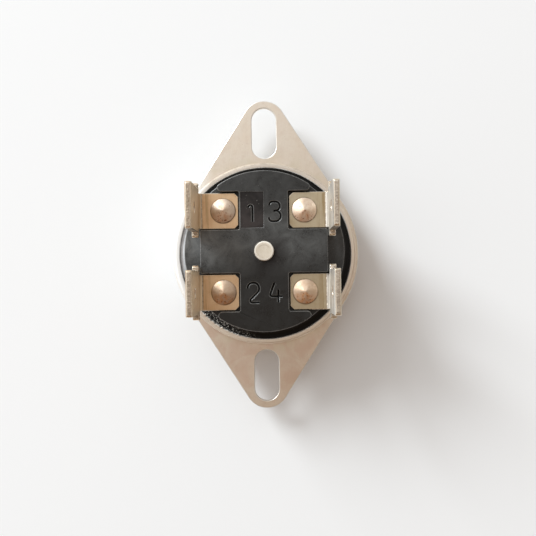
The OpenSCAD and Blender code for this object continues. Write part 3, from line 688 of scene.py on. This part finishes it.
def groove(path, top, depth):
    """Five-sided bar carried along a flat path, one ring of corners at each of its points: two corners lie
    just above the top face, at which the bar is a stroke wide, two lie a shoulder below it, two thirds as far
    out, and one lies at the bottom on the path. Both ends are closed. The shoulders are an eased edge in the
    paler edge finish, a painted highlight, and the rest is the dull near-black stroke, painted shade in the
    groove."""
    run = np.diff(path, axis=0)
    run /= np.hypot(run[:, :1], run[:, 1:])
    way = np.concatenate([run[:1], run[:-1] + run[1:], run[-1:]])
    way /= np.hypot(way[:, :1], way[:, 1:])
    side = np.stack([-way[:, 1], way[:, 0]], -1) * STROKE_W / 2
    shoulder, inner, above = 0.055, 0.67, 0.02
    outer = 1.0 + above / shoulder / 3
    corners = ((outer, above), (-outer, above), (-inner, -shoulder), (0.0, -depth), (inner, -shoulder))
    side_finishes = (GROOVE, BODY_EDGE, GROOVE, GROOVE, BODY_EDGE)
    rings = np.stack([np.hstack([path + share * side, np.full((len(path), 1), top + z)])
                      for share, z in corners], 1)
    count, sides = len(path), len(corners)
    i = sides * np.arange(count - 1)[:, None]
    corner = np.arange(sides)
    ahead = (corner + 1) % sides
    quads = np.stack([i + corner, i + ahead, i + sides + ahead, i + sides + corner], -1).reshape(-1, 4)
    mesh = bpy.data.meshes.new("groove")
    mesh.from_pydata((rings.reshape(-1, 3) * MM).tolist(), [],
                     quads.tolist() + [corner[::-1].tolist(), (sides * (count - 1) + corner).tolist()])
    for material in BODY_FINISHES:
        mesh.materials.append(material)
    finishes = side_finishes * (count - 1) + (GROOVE, GROOVE)
    mesh.polygons.foreach_set("material_index", [BODY_FINISHES.index(finish) for finish in finishes])
    skin = bmesh.new()
    skin.from_mesh(mesh)
    bmesh.ops.recalc_face_normals(skin, faces=skin.faces[:])
    skin.to_mesh(mesh)
    skin.free()
    cutter = bpy.data.objects.new("groove", mesh)
    bpy.context.scene.collection.objects.link(cutter)
    return cutter


def digit_cutters(character, x, y, top):
    """The cutters of one digit, whose middle is at x, y. Each stroke goes a little less deep than the last,
    so that where two cross their edges don't coincide."""
    cutters = []
    for points, radii in DIGITS[character]:
        path = rounded(points, radii) if radii else np.array(points)
        place = (path - (0.0, 0.5)) * DIGIT_H + (x, y)
        cutters.append(groove(place, top, DIGIT_D - 0.02 * len(cutters)))
    return cutters


def engrave(piece):
    """Sinks the digits into the body, and returns its new mesh."""
    cutters = [cutter for place in DIGIT_PLACES for cutter in digit_cutters(*place)]
    for cutter in cutters:
        cut = piece.modifiers.new("engraving", "BOOLEAN")
        cut.operation = "DIFFERENCE"
        cut.solver = "EXACT"
        cut.object = cutter
    mesh = baked(piece)
    for cutter in cutters:
        bpy.data.objects.remove(cutter)
    return mesh


def mark_edges(mesh):
    """Joins the body's flat faces and weighs its outer edges for easing: in full, but less round the shallow
    recess, and not at all in the digits, whose walls keep their sharp edges."""
    skin = bmesh.new()
    skin.from_mesh(mesh)
    bmesh.ops.dissolve_limit(skin, angle_limit=FLAT, verts=skin.verts[:], edges=skin.edges[:],
                             delimit={"MATERIAL"})
    weight = skin.edges.layers.float.new("bevel_weight_edge")
    in_digits = [BODY_FINISHES.index(material) for material in (BODY_EDGE, GROOVE)]
    for edge in skin.edges:
        if edge.calc_face_angle_signed(0.0) < SHARP:
            continue
        if all(face.material_index not in in_digits for face in edge.link_faces):
            foot = min(vert.co.z for face in edge.link_faces for vert in face.verts)
            edge[weight] = 0.4 if foot > (BODY_TOP - RECESS_D - 0.08) * MM else 1.0
    for face in skin.faces:
        face.smooth = True
    skin.to_mesh(mesh)
    skin.free()


def moulded_body():
    """Body with a digit sunk beside each terminal, a duller insert face in the recess and eased edges."""
    piece = link("body_moulding", merged_copy("switch_body", "body_moulding"), "switch_body", *BODY_FINISHES)
    mesh = engrave(piece)
    mark_edges(mesh)
    middle, normal = faces_of(mesh)
    in_recess = (np.abs(middle[:, 2] - (BODY_TOP - RECESS_D)) < 0.01) & (normal[:, 2] > 0.99)
    finish_faces(mesh, in_recess, INSERT)
    ease(piece, width=0.13, limit="WEIGHT")
    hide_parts("switch_body")


def formed_terminal(n):
    """Terminal with eased edges. Faces across the sheet's thickness, which look along Y or up at the tip, are
    torn where the tool cut them, and the inside of the bend and the tab's inner face are drawn."""
    plate_finish, bend_finish, cut_finish = SHEET["left" if n < 3 else "right"]
    piece = eased(f"terminal_{n}", f"terminal_tab_{n}", plate_finish, PLATE_EDGE, width=0.12)
    for material in (cut_finish, bend_finish):
        piece.data.materials.append(material)
    middle, normal = faces_of(piece.data)
    above_plate = middle[:, 2] > PLATE_TOP + 0.01
    cut = (np.abs(normal[:, 1]) > 0.9) | ((normal[:, 2] > 0.97) & above_plate)
    inward = -np.sign(middle[:, 0]) * normal[:, 0] > 0.05
    finish_faces(piece.data, cut, cut_finish)
    finish_faces(piece.data, inward & above_plate & ~cut, bend_finish)


# The body, the flange and the terminals keep their CAD shape, with eased edges
moulded_body()
eased("mounting_flange", "flange_stamping", FLANGE, FLANGE_EDGE, width=0.16)
for n in QUARTERS:
    formed_terminal(n)
eased("reset_pin", "reset_button", PIN, PIN, width=0.06)


def rivet_head(n):
    """Spun rivet: a blunt cone on a short upright rim, on its shank and clenched end. The cone falls from its
    tip as the distance from the axis to a power between 1.35 and 1.6. It is lowered by three shallow flats,
    as a cosine of three times the angle, and by a few round dents."""
    low, high = size_mm(f"terminal_rivet_{n}")
    centre = (low + high)[:2] / 2
    shank_r, clench_r, clench_h = 1.3, 1.7, 0.5
    flat_d, dent_d = 0.09, 0.03
    rim, top = PLATE_TOP + 0.25, high[2]
    grip = low[2] + clench_h
    random = np.random.default_rng(40 + n)
    share = np.linspace(1.0, 0.0, 19)[1:]
    cone = np.stack([HEAD_R * share, rim + (top - rim) * (1 - share ** random.uniform(1.35, 1.6))], -1)
    profile = np.concatenate([
        rounded([[0, low[2]], [clench_r, low[2]], [clench_r, grip], [shank_r, grip], [shank_r, PLATE_TOP],
                 [HEAD_R, PLATE_TOP], [HEAD_R, rim], cone[0]], [0.25, 0.03, 0, 0, 0.05, 0.12], 4)[:-1], cone])
    dents = [(random.uniform(0.5, 1.9), random.uniform(0, 2 * math.pi), random.uniform(0.12, 0.28))
             for _ in range(6)]
    phase = random.uniform(0, 2 * math.pi)

    def press(r, z, a):
        x, y = r * np.cos(a), r * np.sin(a)
        on_head = z > rim
        drop = flat_d * (1 + np.cos(3 * a + phase)) / 2 * np.sin(np.pi * np.clip(r / HEAD_R, 0, 1))
        for distance, where, width in dents:
            near = (x - distance * math.cos(where)) ** 2 + (y - distance * math.sin(where)) ** 2
            drop = drop + dent_d * np.exp(-near / width ** 2)
        return r, z - drop * on_head

    mesh = lathe(f"rivet_{n}", profile, centre, 72, press)
    piece = link(f"rivet_{n}", mesh, f"terminal_rivet_{n}", RIVET)
    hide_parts(f"terminal_rivet_{n}")


for n in QUARTERS:
    rivet_head(n)


def rolled_cap():
    """Drawn cup carried round its axis as one profile: sensing face, step for the disc, wall, bead below the
    flange, step on the flange and lip rolled in over the body. The lip's inner edge moves in and out by a sum
    of cosines of the angle, as hand-set rolling leaves it, with fine nicks where the roll let go."""
    (_, _, flange_z), (_, _, flange_top) = size_mm("mounting_flange")
    base_z = size_mm("switch_body")[0][2]
    wall_r, seat_z, bead = 15.5, 2.4, 0.6
    lip_in, lip_round, lip_in_round = 17.25, 0.40, 0.16
    wall_in, rim_top = wall_r - CAP_T, LIP_TOP - CAP_T
    outer_bend = CAP_BEND + CAP_T
    bead_z = flange_z - bead
    sweep = np.radians(np.linspace(-90, 90, 11))

    def bulge(edge):
        return np.stack([edge + bead * np.cos(sweep), bead_z + bead * np.sin(sweep)], -1)

    outside_low = rounded([[0, 0], [LOW_R, 0], [LOW_R, seat_z - CAP_T], [wall_r, seat_z - CAP_T],
                           [wall_r, bead_z - bead]], [outer_bend, CAP_BEND, outer_bend])
    outside_high = rounded([[wall_r, flange_z], [wall_r, flange_top], [LIP_R, flange_top], [LIP_R, LIP_TOP],
                            [lip_in, LIP_TOP], [lip_in, rim_top]],
                           [CAP_BEND, outer_bend, lip_round, lip_in_round])
    inside_high = rounded([[lip_in, rim_top], [LIP_R - CAP_T, rim_top], [LIP_R - CAP_T, base_z],
                           [wall_in, base_z], [wall_in, flange_z]], [0.1, CAP_BEND, outer_bend])
    inside_low = rounded([[wall_in, bead_z - bead], [wall_in, seat_z], [LOW_R - CAP_T, seat_z],
                          [LOW_R - CAP_T, CAP_T], [0, CAP_T]], [CAP_BEND, outer_bend, CAP_BEND])
    profile = np.concatenate([outside_low, bulge(wall_r)[1:-1], outside_high, inside_high[1:],
                              bulge(wall_in)[1:-1][::-1], inside_low])

    def hand_set(r, z, a):
        at_lip = np.clip((z - rim_top + 0.05) / CAP_T, 0, 1) * np.clip((LIP_R - 0.35 - r) / 0.5, 0, 1)
        let_go = np.exp(-((a - math.radians(233)) / math.radians(24)) ** 2)
        wave = 0.025 * np.cos(3 * a + 0.7) + 0.015 * np.cos(7 * a + 2.1) + 0.01 * np.cos(17 * a)
        nick = 0.10 * (np.cos(97 * a) + np.cos(151 * a + 1.0) + np.cos(181 * a + 2.0)) * let_go
        return r + at_lip * (wave + nick), z

    mesh = lathe("cap_shell", profile, (0.0, 0.0), 540, hand_set)
    piece = link("cap_shell", mesh, "sensing_cap", CAP, ROLLED, EDGE_HIGHLIGHT)
    middle = faces_of(mesh)[0]
    distance = np.hypot(middle[:, 0], middle[:, 1])
    on_bend = (distance > LIP_R - lip_round - 0.02) & (middle[:, 2] > flange_top + CAP_BEND)
    on_inner_edge = (distance < lip_in + lip_in_round + 0.01) & (middle[:, 2] > LIP_TOP - lip_in_round - 0.01)
    finish_faces(mesh, on_bend, ROLLED)
    finish_faces(mesh, on_inner_edge, EDGE_HIGHLIGHT)
    piece.modifiers.new("flat_faces", "WEIGHTED_NORMAL").weight = 80
    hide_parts("sensing_cap")


rolled_cap()


# The sealed switch gear keeps its CAD meshes, in finishes of its own
GEAR = {"bimetal_disc": DISC, "guide_plate": GUIDE, "trip_rod": PIN, "cross_bar": BAR}
for side in SIDES:
    GEAR.update({f"contact_arm_{side}": SPRING, f"contact_bracket_{side}": BRASS,
                 f"moving_contact_{side}": SILVER, f"fixed_contact_{side}": SILVER})
for node, material in GEAR.items():
    shown = frame["nodes"][node]
    shown.data.materials.clear()
    shown.data.materials.append(material)


# Stage
def floor():
    """A pale sheet under the part, which isn't seen from below. It is a wide ring whose hole lies under the
    flat sensing face, so that light reaches the face in views from below: the corner at angle a is (r cos a,
    r sin a), with r first the hole's and then the rim's radius."""
    mesh = bpy.data.meshes.new("floor_sheet")
    sensing_r = (LOW_R - CAP_BEND - CAP_T) * MM
    reach, gap = 3.0, 0.02 * MM
    angle = np.linspace(0.0, 2.0 * math.pi, 96, endpoint=False)
    corners = [(r * math.cos(a), r * math.sin(a), -gap) for r in (sensing_r, reach) for a in angle]
    i = np.arange(len(angle))
    j = (i + 1) % len(angle)
    mesh.from_pydata(corners, [], np.stack([i, i + len(angle), j + len(angle), j], -1).tolist())
    sheet = bpy.data.objects.new("floor_sheet", mesh)
    bpy.context.scene.collection.objects.link(sheet)
    f = Finish("floor_paper")
    paper = f.add("ShaderNodeBsdfDiffuse")
    f.feed(paper.inputs["Color"], (0.905, 0.925, 0.95, 1.0))
    from_below = f.add("ShaderNodeNewGeometry").outputs["Backfacing"]
    f.choose(from_below, paper, f.add("ShaderNodeBsdfTransparent"), "ShaderNodeOutputMaterial")
    mesh.materials.append(f.material)


def lamp(name, at, aim, width, watts, colour):
    """A round soft lamp at a place in metres, which points at aim."""
    data = bpy.data.lights.new(name, "AREA")
    data.shape = "DISK"
    data.size = width
    data.energy = watts
    data.color = colour
    lamp_object = bpy.data.objects.new(name, data)
    bpy.context.scene.collection.objects.link(lamp_object)
    lamp_object.location = at
    lamp_object.rotation_euler = (Vector(aim) - Vector(at)).to_track_quat("-Z", "Y").to_euler()


def surroundings():
    """Soft room light: paler towards the window side, browner towards the front, with a warm patch overhead,
    and plain white where the camera looks straight at it."""
    world = bpy.data.worlds.new("soft_room")
    bpy.context.scene.world = world
    world.use_nodes = True
    w = Nodes(world.node_tree)
    direction = w.add("ShaderNodeTexCoord").outputs["Generated"]

    def towards(axis, low, high):
        """From 0 to 1 as the direction turns from the angle low to the angle high away from the axis."""
        dot = w.add("ShaderNodeVectorMath", operation="DOT_PRODUCT")
        w.feed(dot.inputs[0], direction)
        w.feed(dot.inputs[1], Vector(axis).normalized())
        span = w.add("ShaderNodeMapRange", interpolation_type="SMOOTHSTEP")
        w.feed(span.inputs["Value"], dot.outputs["Value"])
        w.feed(span.inputs["From Min"], math.cos(math.radians(low)))
        w.feed(span.inputs["From Max"], math.cos(math.radians(high)))
        return span.outputs["Result"]

    room = w.mix(towards((-0.60, 0.50, 0.60), 100.0, 5.0), (0.31, 0.26, 0.22), (0.92, 0.91, 0.89))
    room = w.mix(towards((0.05, -0.85, 0.55), 60.0, 10.0), room, (0.26, 0.17, 0.11))
    room = w.mix(towards((0.12, -0.28, 1.0), 30.0, 6.0), room, (0.42, 0.32, 0.235))
    light, white = w.add("ShaderNodeBackground"), w.add("ShaderNodeBackground")
    w.feed(light.inputs["Color"], room)
    w.feed(white.inputs["Color"], (0.93, 0.935, 0.945, 1.0))
    seen = w.add("ShaderNodeLightPath").outputs["Is Camera Ray"]
    w.choose(seen, light, white, "ShaderNodeOutputWorld")


def camera():
    """The photograph's viewpoint: almost straight down, fitted to the object's own edges."""
    at, aim = Vector((2.787, -5.961, 153.554)) * MM, Vector((0.549, -3.009, 10.0)) * MM
    roll = math.radians(0.789)
    look = (aim - at).normalized()
    right = look.cross(Vector((math.sin(roll), math.cos(roll), 0.0))).normalized()
    up = right.cross(look)
    data = bpy.data.cameras.new("camera")
    data.sensor_width = 36.0
    data.lens = 48.03
    data.clip_start = 0.01
    camera_object = bpy.data.objects.new("camera", data)
    bpy.context.scene.collection.objects.link(camera_object)
    camera_object.matrix_world = Matrix((
        (right.x, up.x, -look.x, at.x), (right.y, up.y, -look.y, at.y),
        (right.z, up.z, -look.z, at.z), (0.0, 0.0, 0.0, 1.0)))
    bpy.context.scene.camera = camera_object


floor()
lamp("window_light", at=(-0.99, 0.99, 0.87), aim=(0.0, 0.0, 0.01), width=0.75, watts=24.6,
     colour=(0.93, 0.98, 1.0))
surroundings()
camera()
bpy.context.scene.view_settings.view_transform = "Standard"
